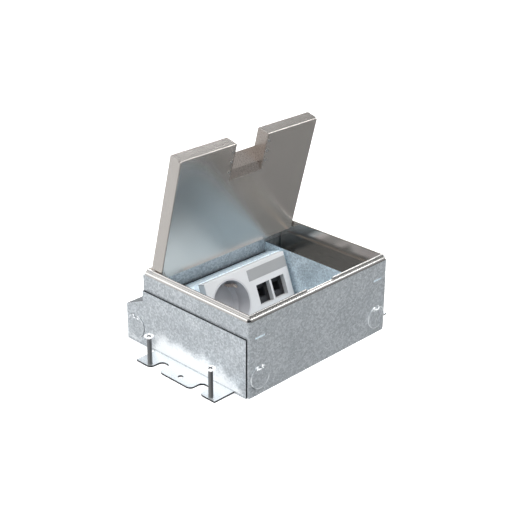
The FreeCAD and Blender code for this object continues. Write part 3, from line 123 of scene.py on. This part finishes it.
class Pattern:
    """Builds the nodes of one tree. An input takes a number or what another node gives."""

    def __init__(self, tree):
        self.tree = tree

    def put(self, value, target):
        """Sets an input to a number, or links it."""
        if isinstance(value, bpy.types.NodeSocket):
            self.tree.links.new(value, target)
        else:
            target.default_value = value

    def add(self, kind, inputs=None, **settings):
        """A new node, with a value for each input that is named or numbered."""
        node = self.tree.nodes.new(kind)
        for key, value in settings.items():
            setattr(node, key, value)
        for key, value in (inputs or {}).items():
            self.put(value, node.inputs[key])
        return node

    def reckoned(self, operation, one, other=0.0):
        node = self.add("ShaderNodeMath", {0: one, 1: other}, operation=operation)
        return node.outputs["Value"]

    def product(self, one, other):
        return self.reckoned("MULTIPLY", one, other)

    def below(self, value, limit):
        """1 where a value is under the limit, else 0."""
        return self.reckoned("LESS_THAN", value, limit)

    def above(self, value, limit):
        """1 where a value is over the limit, else 0."""
        return self.reckoned("GREATER_THAN", value, limit)

    def away(self, value, middle):
        """How far a value is from a middle one."""
        return self.reckoned("ABSOLUTE", self.reckoned("SUBTRACT", value, middle))

    def spread(self, value, low, high, start=0.0, end=1.0, ease="LINEAR"):
        """Runs from low to high where a value runs from start to end."""
        ends = {"Value": value, "From Min": start, "From Max": end, "To Min": low, "To Max": high}
        return self.add("ShaderNodeMapRange", ends, interpolation_type=ease).outputs["Result"]

    def mixed(self, one, other, share=0.5):
        """Two values, of which the second has the given share."""
        node = self.add("ShaderNodeMix", {"Factor": share, "A": one, "B": other}, data_type="FLOAT")
        return node.outputs["Result"]

    def parts(self, source):
        """A place or direction along X, Y and Z."""
        split = self.add("ShaderNodeSeparateXYZ", {"Vector": source})
        return [split.outputs[axis] for axis in "XYZ"]

    def sides(self, source):
        """A place or direction along X, Y and Z, the same on both sides of the middle."""
        return [self.reckoned("ABSOLUTE", part) for part in self.parts(source)]


class Finish(Pattern):
    """A material whose colour, roughness and relief follow patterns in the part's own space."""

    def __init__(self, name, color, metallic, roughness):
        self.material = bpy.data.materials.new(name)
        self.material.use_nodes = True
        super().__init__(self.material.node_tree)
        self.shader = self.tree.nodes["Principled BSDF"]
        self.give("Base Color", (*color, 1))
        self.give("Metallic", metallic)
        self.give("Roughness", roughness)
        self.place = self.add("ShaderNodeTexCoord").outputs["Object"]

    def give(self, name, value):
        """Sets one of the finish's own inputs."""
        self.put(value, self.shader.inputs[name])

    def facing(self):
        """How much the surface faces along X, Y and Z, either way."""
        return self.sides(self.add("ShaderNodeTexCoord").outputs["Normal"])

    def noise(self, scale, detail, rough):
        """Soft spots; a higher scale makes them finer."""
        inputs = {"Vector": self.place, "Scale": scale, "Detail": detail, "Roughness": rough}
        return self.add("ShaderNodeTexNoise", inputs).outputs["Fac"]

    def shaken(self, amount, scale):
        """The part's place, shaken a little, so that crystals get ragged edges."""
        node = self.add("ShaderNodeTexNoise", {"Vector": self.place, "Scale": scale})
        centred = self.add("ShaderNodeVectorMath", {0: node.outputs["Color"], 1: (0.5, 0.5, 0.5)},
                           operation="SUBTRACT")
        moved = self.add("ShaderNodeVectorMath",
                         {0: centred.outputs["Vector"], 1: (amount, amount, amount), 2: self.place},
                         operation="MULTIPLY_ADD")
        return moved.outputs["Vector"]

    def crystals(self, scale, place):
        """A random value for each crystal of a zinc coat."""
        node = self.add("ShaderNodeTexVoronoi", {"Vector": place, "Scale": scale}, feature="F1")
        parts = self.add("ShaderNodeSeparateColor", {"Color": node.outputs["Color"]})
        return parts.outputs["Red"]

    def shades(self, value, stops):
        """The colours that a value runs through."""
        ramp = self.add("ShaderNodeValToRGB", {"Fac": value})
        elements = ramp.color_ramp.elements
        elements[0].position = stops[0][0]
        elements[1].position = stops[-1][0]
        for position, _ in stops[1:-1]:
            elements.new(position)
        for element, (_, color) in zip(elements, stops):
            element.color = (*color, 1)
        self.give("Base Color", ramp.outputs["Color"])

    def rough(self, value, low, high, start=NOISE_LOW, end=NOISE_HIGH):
        """Roughness that runs from low to high where a value runs from start to end."""
        self.give("Roughness", self.spread(value, low, high, start, end))

    def worn(self, noise, dark, light, low, high):
        """Colour and roughness that follow a noise."""
        self.shades(noise, ((NOISE_LOW, dark), (NOISE_HIGH, light)))
        self.rough(noise, low, high)

    def relief(self, value, depth, strength, edge=0.0):
        """Fine relief, over edges that are rounded by the given radius."""
        inputs = {"Height": value, "Strength": strength, "Distance": depth}
        if edge:
            rounded = self.add("ShaderNodeBevel", {"Radius": edge}, samples=EDGE_SAMPLES)
            inputs["Normal"] = rounded.outputs["Normal"]
        self.give("Normal", self.add("ShaderNodeBump", inputs).outputs["Normal"])

    def overlay(self, name, share, value, kind="FLOAT"):
        """Lays a value over what one input has, where the share is 1."""
        target = self.shader.inputs[name]
        own = target.links[0].from_socket if target.links else target.default_value
        first, second, result = MIX_SOCKETS[kind]
        node = self.add("ShaderNodeMix", {"Factor": share, first: own, second: value}, data_type=kind)
        self.give(name, node.outputs[result])

    def repaint(self, share, color, roughness, metallic):
        """Another finish where the share is 1."""
        self.overlay("Base Color", share, (*color, 1), "RGBA")
        self.overlay("Roughness", share, roughness)
        self.overlay("Metallic", share, metallic)


def scaled(color, amount):
    return tuple(amount * part for part in color)


# Camera, floor and light

def set_camera():
    """Looks at the box from its front left corner, a little above it."""
    turn, rise, roll = (math.radians(angle) for angle in (CAMERA_TURN, CAMERA_RISE, CAMERA_ROLL))
    level = math.cos(rise)
    back = Vector((math.sin(turn) * level, -math.cos(turn) * level, math.sin(rise)))
    right = Vector((math.cos(turn), math.sin(turn), 0))
    up = back.cross(right)
    across = right * math.cos(roll) + up * math.sin(roll)
    upright = up * math.cos(roll) - right * math.sin(roll)
    axes = Matrix((across, upright, back)).transposed()
    place = axes @ -CORNER_FROM_CAMERA - ORIGIN_FROM_CORNER
    camera = bpy.data.objects.new("camera", bpy.data.cameras.new("camera"))
    bpy.context.scene.collection.objects.link(camera)
    camera.matrix_world = Matrix.Translation(place * MM) @ axes.to_4x4()
    camera.data.sensor_width = SENSOR_WIDTH
    camera.data.lens = SENSOR_WIDTH * FOCAL_LENGTH / PHOTO_WIDTH
    camera.data.dof.use_dof = False
    camera.data.clip_end = 100
    bpy.context.scene.camera = camera


def made_object(name, form, finish):
    """An object with the form's mesh and one finish."""
    mesh = bpy.data.meshes.new(name)
    form.to_mesh(mesh)
    form.free()
    mesh.materials.append(finish)
    piece = bpy.data.objects.new(name, mesh)
    bpy.context.scene.collection.objects.link(piece)
    return piece


def stage_piece(name, form, shade, glow, roughness, gloss, hidden_from):
    """A floor or backdrop, which isn't part of the box and is hidden from some kinds of light."""
    paint = Finish(name, (shade, shade, shade), 0.0, roughness)
    paint.give("Emission Color", (*WHITE, 1))
    paint.give("Emission Strength", glow)
    paint.give("Specular IOR Level", gloss)
    piece = made_object(name, form, paint.material)
    for kind in hidden_from:
        setattr(piece, f"visible_{kind}", False)


def set_floor():
    """A plain white floor inside a white backdrop. Neither shows in the metal."""
    disc = bmesh.new()
    bmesh.ops.create_circle(disc, cap_ends=True, radius=FLOOR_RADIUS, segments=64)
    stage_piece("studio_floor", disc, shade=0.93, glow=0.3, roughness=0.9, gloss=0,
                hidden_from=("glossy", "shadow"))
    dome = bmesh.new()
    bmesh.ops.create_icosphere(dome, subdivisions=4, radius=BACKDROP_RADIUS)
    stage_piece("studio_backdrop", dome, shade=0, glow=1, roughness=0.5, gloss=0.5,
                hidden_from=("glossy", "diffuse", "shadow", "transmission"))


def soft_box(name, place, aim, size, power, in_metal=True):
    """A square lamp, which the metal mirrors or not."""
    light = bpy.data.lights.new(name, "AREA")
    light.shape = "SQUARE"
    light.size = size
    light.energy = power
    lamp = bpy.data.objects.new(name, light)
    lamp.location = place
    lamp.rotation_euler = (Vector(aim) - Vector(place)).to_track_quat("-Z", "Y").to_euler()
    lamp.visible_glossy = in_metal
    bpy.context.scene.collection.objects.link(lamp)


def set_world(even, panels):
    """Even light all round, and brighter panels.

    Each panel has its direction, how near to it the light starts and is full, and its brightness.
    """
    world = bpy.data.worlds.new("studio")
    bpy.context.scene.world = world
    world.use_nodes = True
    sky = world.node_tree.nodes["Background"]
    sky.inputs["Color"].default_value = (*WHITE, 1)
    pattern = Pattern(world.node_tree)
    way = pattern.add("ShaderNodeTexCoord").outputs["Generated"]
    total = even
    for direction, start, full, brightness in panels:
        near = pattern.add("ShaderNodeVectorMath", {0: way, 1: Vector(direction).normalized()},
                           operation="DOT_PRODUCT")
        panel = pattern.spread(near.outputs["Value"], 0.0, brightness, start, full, "SMOOTHSTEP")
        total = pattern.reckoned("ADD", panel, total)
    pattern.put(total, sky.inputs["Strength"])


def set_light():
    set_world(even=0.26, panels=[
        ((-0.70, 0.62, -0.35), 0.0, 0.95, 0.5),     # left, behind, from below
        ((-0.66, -0.41, 0.63), 0.7, 0.95, 1.0),     # left, in front, high
        ((0.60, 0.68, 0.42), 0.96, 0.99, 3.4),      # right, behind
        ((0.65, 0.36, 0.67), 0.93, 0.99, 0.05),     # right, behind, high
        ((-0.40, 0.64, 0.66), 0.75, 0.97, 1.1),     # left, behind, high
        ((0.65, -0.40, 0.64), 0.8, 0.97, 0.35),     # right, in front, high
    ])
    soft_box("key_softbox", (0.22, -0.5, 1.6), aim=(0, 0, 0), size=0.9, power=31, in_metal=False)
    soft_box("front_softbox", (0.5, -1.4, 0.7), aim=(0, 0, 0.05), size=0.6, power=2.2, in_metal=False)
    soft_box("left_softbox", (-1.5, -0.3, 0.5), aim=(0, 0, 0.05), size=0.8, power=3.5, in_metal=False)
    soft_box("edge_softbox", (0.9, -0.2, 1.1), aim=(0, 0, 0.08), size=0.36, power=2)
    view = bpy.context.scene.view_settings
    view.view_transform = "Standard"
    view.look = "None"


# Galvanised sheet

def zinc_coat(name, light=1.0, metallic=0.7, tint=WHITE):
    """Hot dip zinc with its fine crystals; light makes the whole coat brighter or darker, which paints
    in the light or shade that falls on a part.
    """
    zinc = Finish(name, (0.55, 0.58, 0.61), metallic, roughness=0.4)
    ragged = zinc.shaken(amount=1.2 * MM, scale=900)
    grains = zinc.mixed(zinc.crystals(760, ragged), zinc.noise(scale=1300, detail=3, rough=0.65))
    clouds = zinc.noise(scale=45, detail=3, rough=0.55)
    mottle = zinc.mixed(grains, clouds, share=0.25)
    zinc.shades(mottle, [(stop, [light * share * part for share, part in zip(tint, color)])
                         for stop, color in ZINC_SHADES])
    zinc.rough(mottle, low=0.46, high=0.3, start=0.25, end=0.75)
    zinc.relief(mottle, depth=0.12 * MM, strength=0.5, edge=SHEET_EDGE)
    return zinc


def galvanised_bracket():
    """Painted light on the flange's top, a painted glow of the flange's reflected light over the fold,
    and raw cut edges painted near black, mostly as painted shade.
    """
    zinc = zinc_coat("galvanised_bracket")
    facing_x, _, facing_z = zinc.facing()
    beside, _, height = zinc.sides(zinc.place)
    in_flange = zinc.product(zinc.below(height, FLANGE_TOP), zinc.above(beside, CHEEK_OUTSIDE))

    # The painted glow, the flange's light reflected on the cheek, fades upwards and towards the flange's
    # ends
    cloudy = zinc.mixed(zinc.noise(scale=42, detail=4, rough=0.6),
                        zinc.noise(scale=900, detail=2, rough=0.6), share=0.3)
    along = zinc.away(zinc.parts(zinc.place)[1], FLANGE_MIDDLE)
    glow_fading = zinc.reckoned("ADD",
                             zinc.spread(height, low=0.0, high=0.42, start=FOLD_TOP, end=PAINTED_GLOW_TOP),
                             zinc.spread(along, low=0.0, high=0.3, start=PAINTED_GLOW_FADES, end=PAINTED_GLOW_ENDS))
    left_over = zinc.reckoned("SUBTRACT", cloudy, glow_fading)
    painted_glow = zinc.spread(left_over, low=0.0, high=0.9, start=0.12, end=0.34)
    glow_over_fold = zinc.product(painted_glow, zinc.above(height, FOLD_TOP))
    zinc.repaint(glow_over_fold, PAINTED_HIGHLIGHT_ZINC, roughness=0.4, metallic=0.1)

    # Painted light: the flange's top, which faces up, is painted bright zinc
    painted_flange_light = zinc.product(in_flange, zinc.above(facing_z, MOSTLY))
    zinc.repaint(painted_flange_light, PAINTED_HIGHLIGHT_ZINC, roughness=0.26, metallic=0.8)

    # A cut edge faces away from X on the cheek, and away from Z on the flange; it is painted near black,
    # partly its raw steel and mostly painted shade of the gaps
    through_sheet = zinc.mixed(facing_x, facing_z, share=in_flange)
    zinc.repaint(zinc.below(through_sheet, MOSTLY), RAW_EDGE_SHADE, roughness=0.6, metallic=0.7)
    return zinc.material


def galvanised_knockout(name, across):
    """A knockout with painted highlights on its rim in places, most at its tab; across is 0 for X or 1
    for Y.
    """
    zinc = zinc_coat("galvanised_" + name, WALL_PAINTED_SHADE)
    low, high = (Vector(corner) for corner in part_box(name))
    middle = (low + high) / 2
    radius = (high[across] - low[across]) / 2
    place = zinc.sides(zinc.place)
    spot = zinc.add("ShaderNodeCombineXYZ", {0: place[across], 1: place[2]})
    offset = zinc.add("ShaderNodeVectorMath",
                      {0: spot.outputs["Vector"], 1: (abs(middle[across]), middle.z, 0)},
                      operation="DISTANCE")
    rim = zinc.above(offset.outputs["Value"], radius - CUT_RIM)
    spots = zinc.noise(scale=140, detail=3, rough=0.6)
    rim_glints = zinc.spread(spots, low=0.0, high=0.55, start=0.46, end=0.54)
    # Painted highlights in patches round the rim
    zinc.repaint(zinc.product(rim, rim_glints), PAINTED_HIGHLIGHT_ZINC, roughness=0.3, metallic=0.2)
    beside = zinc.away(place[across], abs(middle[across]))
    tab = zinc.product(zinc.below(beside, CUT_TAB), zinc.above(place[2], high.z - CUT_TAB))
    specks = zinc.noise(scale=700, detail=2, rough=0.5)
    tab_glints = zinc.spread(specks, low=0.0, high=1.0, start=0.42, end=0.5)
    # Painted highlights at the tab
    zinc.repaint(zinc.product(tab, tab_glints), PAINTED_HIGHLIGHT_ZINC, roughness=0.3, metallic=0.2)
    return zinc.material


def galvanised_channel_painted_light():
    """A coat painted lighter, as painted light; the ledge over the channel is rolled smooth."""
    zinc = zinc_coat("galvanised_channel_painted_light", 1.35, metallic=0.5, tint=BLUISH)
    facing_z = zinc.facing()[2]
    zinc.repaint(zinc.above(facing_z, MOSTLY), (0.4, 0.45, 0.48), roughness=0.1, metallic=1.0)
    return zinc.material


# Steel, plastic and copper

def stainless(name, color, low, high, grain=0.03 * MM, metallic=1.0, edge=SHEET_EDGE):
    """Rolled steel, from low to high in roughness; grain is the height of its fine relief."""
    steel = Finish(name, color, metallic, roughness=low)
    lines = steel.noise(scale=1100, detail=3, rough=0.65)
    both = steel.mixed(lines, steel.noise(scale=30, detail=2, rough=0.5), share=0.4)
    steel.worn(both, scaled(color, 0.93), scaled(color, 1.05), low, high)
    steel.relief(lines, depth=grain, strength=0.5, edge=edge)
    return steel


def stainless_frame():
    """The frame's inner walls below the lip get a darker, browner painted shade, standing in for the
    dark interior they mirror.
    """
    steel = stainless("stainless_frame", (0.68, 0.67, 0.655), low=0.12, high=0.2)
    beside = steel.sides(steel.place)[0]
    facing_x = steel.facing()[0]
    inside = steel.product(steel.below(beside, WALL_INSIDE), steel.above(facing_x, 0.7))
    # Painted shade and reflection: a darker brown on the inner walls
    steel.repaint(inside, (0.52, 0.475, 0.44), roughness=0.16, metallic=1.0)
    return steel.material


def screw_head_steel():
    """Bright on top, with painted shade round its side and on the bottom of the cross recess."""
    steel = Finish("head_steel", (0.93, 0.94, 0.95), metallic=0.35, roughness=0.22)
    wear = steel.noise(scale=2600, detail=3, rough=0.6)
    steel.worn(wear, dark=(0.9, 0.91, 0.92), light=(0.96, 0.97, 0.98), low=0.2, high=0.28)
    height = steel.sides(steel.place)[2]
    facing_z = steel.facing()[2]
    # Painted shade on the bottom of the cross recess
    recess = steel.product(steel.below(height, HEAD_TOP - RECESS_DEPTH), steel.above(facing_z, 0.9))
    steel.repaint(recess, (0.02, 0.02, 0.022), roughness=0.5, metallic=0.6)
    # Painted shade round the head's side
    steel.repaint(steel.below(facing_z, 0.1), (0.1, 0.1, 0.11), roughness=0.5, metallic=0.6)
    steel.relief(wear, depth=0.02 * MM, strength=0.4, edge=HEAD_EDGE)
    return steel.material


def screw_thread_steel():
    steel = Finish("thread_steel", (0.2, 0.205, 0.21), metallic=1.0, roughness=0.35)
    wear = steel.noise(scale=2600, detail=3, rough=0.6)
    steel.relief(wear, depth=0.02 * MM, strength=0.4, edge=SHEET_EDGE)
    return steel.material


def plain_metal(name, color, roughness, scale, dark, light, low, high):
    """A metal that is worn a little darker and lighter in fine spots."""
    metal = Finish(name, color, 1.0, roughness)
    wear = metal.noise(scale, detail=3, rough=0.6)
    metal.worn(wear, dark, light, low, high)
    metal.relief(wear, depth=0.02 * MM, strength=0.4)
    return metal.material


def moulded(name, color, roughness):
    """Plastic with the fine grain of its mould."""
    plastic = Finish(name, color, 0.0, roughness)
    grain = plastic.noise(scale=4200, detail=2, rough=0.5)
    both = plastic.mixed(grain, plastic.noise(scale=45, detail=2, rough=0.5))
    plastic.worn(both, scaled(color, 0.955), scaled(color, 1.03), roughness - 0.05, roughness + 0.06)
    plastic.relief(grain, depth=0.01 * MM, strength=0.5)
    return plastic.material


# Levelling screws

def screw_head(node, bottom):
    """The head with its cross recess, cut off the plain screw where the thread starts."""
    form = bmesh.new()
    form.from_mesh(node.data)
    bmesh.ops.remove_doubles(form, verts=form.verts, dist=HEAD_MERGE)
    everything = form.verts[:] + form.edges[:] + form.faces[:]
    bmesh.ops.bisect_plane(form, geom=everything, plane_co=(0, 0, bottom), plane_no=(0, 0, 1),
                           clear_inner=True)
    bmesh.ops.holes_fill(form, edges=[edge for edge in form.edges if edge.is_boundary])
    return form


def screw_thread(x, y, low, high):
    """A helix of V grooves, spun up the screw round its core."""
    core = SHAFT_RADIUS - THREAD_DEPTH
    turns = int((high - low) / PITCH) - 1
    form = bmesh.new()
    flank = [form.verts.new((x + reach, y, low + rise))
             for reach, rise in ((core, 0), (SHAFT_RADIUS, PITCH / 2), (core, PITCH))]
    edges = [form.edges.new(pair) for pair in zip(flank, flank[1:])]
    bmesh.ops.spin(form, geom=flank + edges, cent=(x, y, 0), axis=(0, 0, 1),
                   dvec=(0, 0, PITCH / THREAD_STEPS), angle=math.tau * turns, steps=THREAD_STEPS * turns)
    bmesh.ops.remove_doubles(form, verts=form.verts, dist=THREAD_MERGE)
    rod_radius = core + CORE_OVERLAP
    bmesh.ops.create_cone(form, cap_ends=True, segments=CORE_SIDES, radius1=rod_radius,
                          radius2=rod_radius, depth=high - low,
                          matrix=Matrix.Translation((x, y, (low + high) / 2)))
    bmesh.ops.recalc_face_normals(form, faces=form.faces)
    return form


def new_piece(name, form, body, finish):
    """Turns a form into a piece that rides on a body."""
    piece = made_object(name, form, finish)
    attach(piece, body)
    return piece


def make_levelling_screws():
    head_finish = screw_head_steel()
    thread_finish = screw_thread_steel()
    for end in ("front", "rear"):
        for side in ("left", "right"):
            name = f"levelling_screw_{end}_{side}"
            body = f"leveller_{end}_{side}"
            low, high = (Vector(corner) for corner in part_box(name))
            middle = (low + high) / 2
            shaft_top = high.z - CONE
            head = new_piece(f"{name}_head", screw_head(nodes[name], shaft_top), body,
                             head_finish)
            new_piece(f"{name}_thread", screw_thread(middle.x, middle.y, low.z, shaft_top), body,
                      thread_finish)
            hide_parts(name)


# The finish of each material slot, and then of the pieces that have one of their own

slots = {row["node"]: row["material_slot"] for row in frame["record"]["subparts"]}
finishes = {
    "galvanised_steel": zinc_coat("galvanised_steel", WALL_PAINTED_SHADE).material,
    "stainless_steel": stainless("stainless_steel", (0.635, 0.605, 0.575), low=0.08, high=0.14,
                                 grain=0.16 * MM, metallic=0.94, edge=TRAY_EDGE).material,
    "zinc_plated_steel": plain_metal("zinc_plated_steel", (0.62, 0.62, 0.63), 0.3, scale=1500,
                                     dark=(0.5, 0.5, 0.51), light=(0.72, 0.72, 0.73),
                                     low=0.24, high=0.4),
    "white_plastic": moulded("white_plastic", (0.6, 0.605, 0.615), 0.38),
    "grey_plastic": moulded("grey_plastic", (0.31, 0.315, 0.32), 0.5),
    "black_plastic": moulded("black_plastic", (0.034, 0.036, 0.04), 0.45),
    "dark_plastic": moulded("dark_plastic", (0.08, 0.08, 0.085), 0.5),
    "copper_alloy": plain_metal("copper_alloy", (0.8, 0.66, 0.57), 0.25, scale=1200,
                                dark=(0.72, 0.58, 0.49), light=(0.88, 0.75, 0.66),
                                low=0.2, high=0.36),
}
own_finishes = {
    ("left_bracket", "right_bracket"): galvanised_bracket(),
    ("left_channel_cover", "right_channel_cover"): galvanised_channel_painted_light(),
    ("front_knockout_left", "front_knockout_right"): galvanised_knockout("front_knockout_left", 0),
    ("cheek_knockout_left", "cheek_knockout_right"): galvanised_knockout("cheek_knockout_left", 1),
    # The carrier's zinc is painted lighter, as painted light
    ("device_carrier",): zinc_coat("galvanised_carrier_painted_light", 1.7, metallic=0.15, tint=BLUISH).material,
    # The hood's zinc is painted darker, as painted shade of the open lid
    ("rear_hood",): zinc_coat("galvanised_hood_painted_shade", 0.62).material,
    # The bottom plate's zinc is painted lighter, as painted light that the lid's underside mirrors
    ("bottom_plate",): zinc_coat("galvanised_floor_painted_light", 1.3, metallic=0.4, tint=BLUISH).material,
    ("floor_frame", "lid_rest_left", "lid_rest_right"): stainless_frame(),
    ("cord_outlet_insert",): stainless("stainless_insert", (0.47, 0.425, 0.395), low=0.24, high=0.34,
                                       grain=0.05 * MM, metallic=0.93).material,
    # The well's plastic is painted darker than the cover's, as painted shade in the deep well
    ("socket_well",): moulded("well_plastic_painted_shade", (0.5, 0.5, 0.52), 0.4),
}
special = {name: finish for names, finish in own_finishes.items() for name in names}

set_camera()
set_floor()
set_light()
for name, node in nodes.items():
    node.data.materials.clear()
    node.data.materials.append(special.get(name, finishes[slots[name]]))

make_levelling_screws()
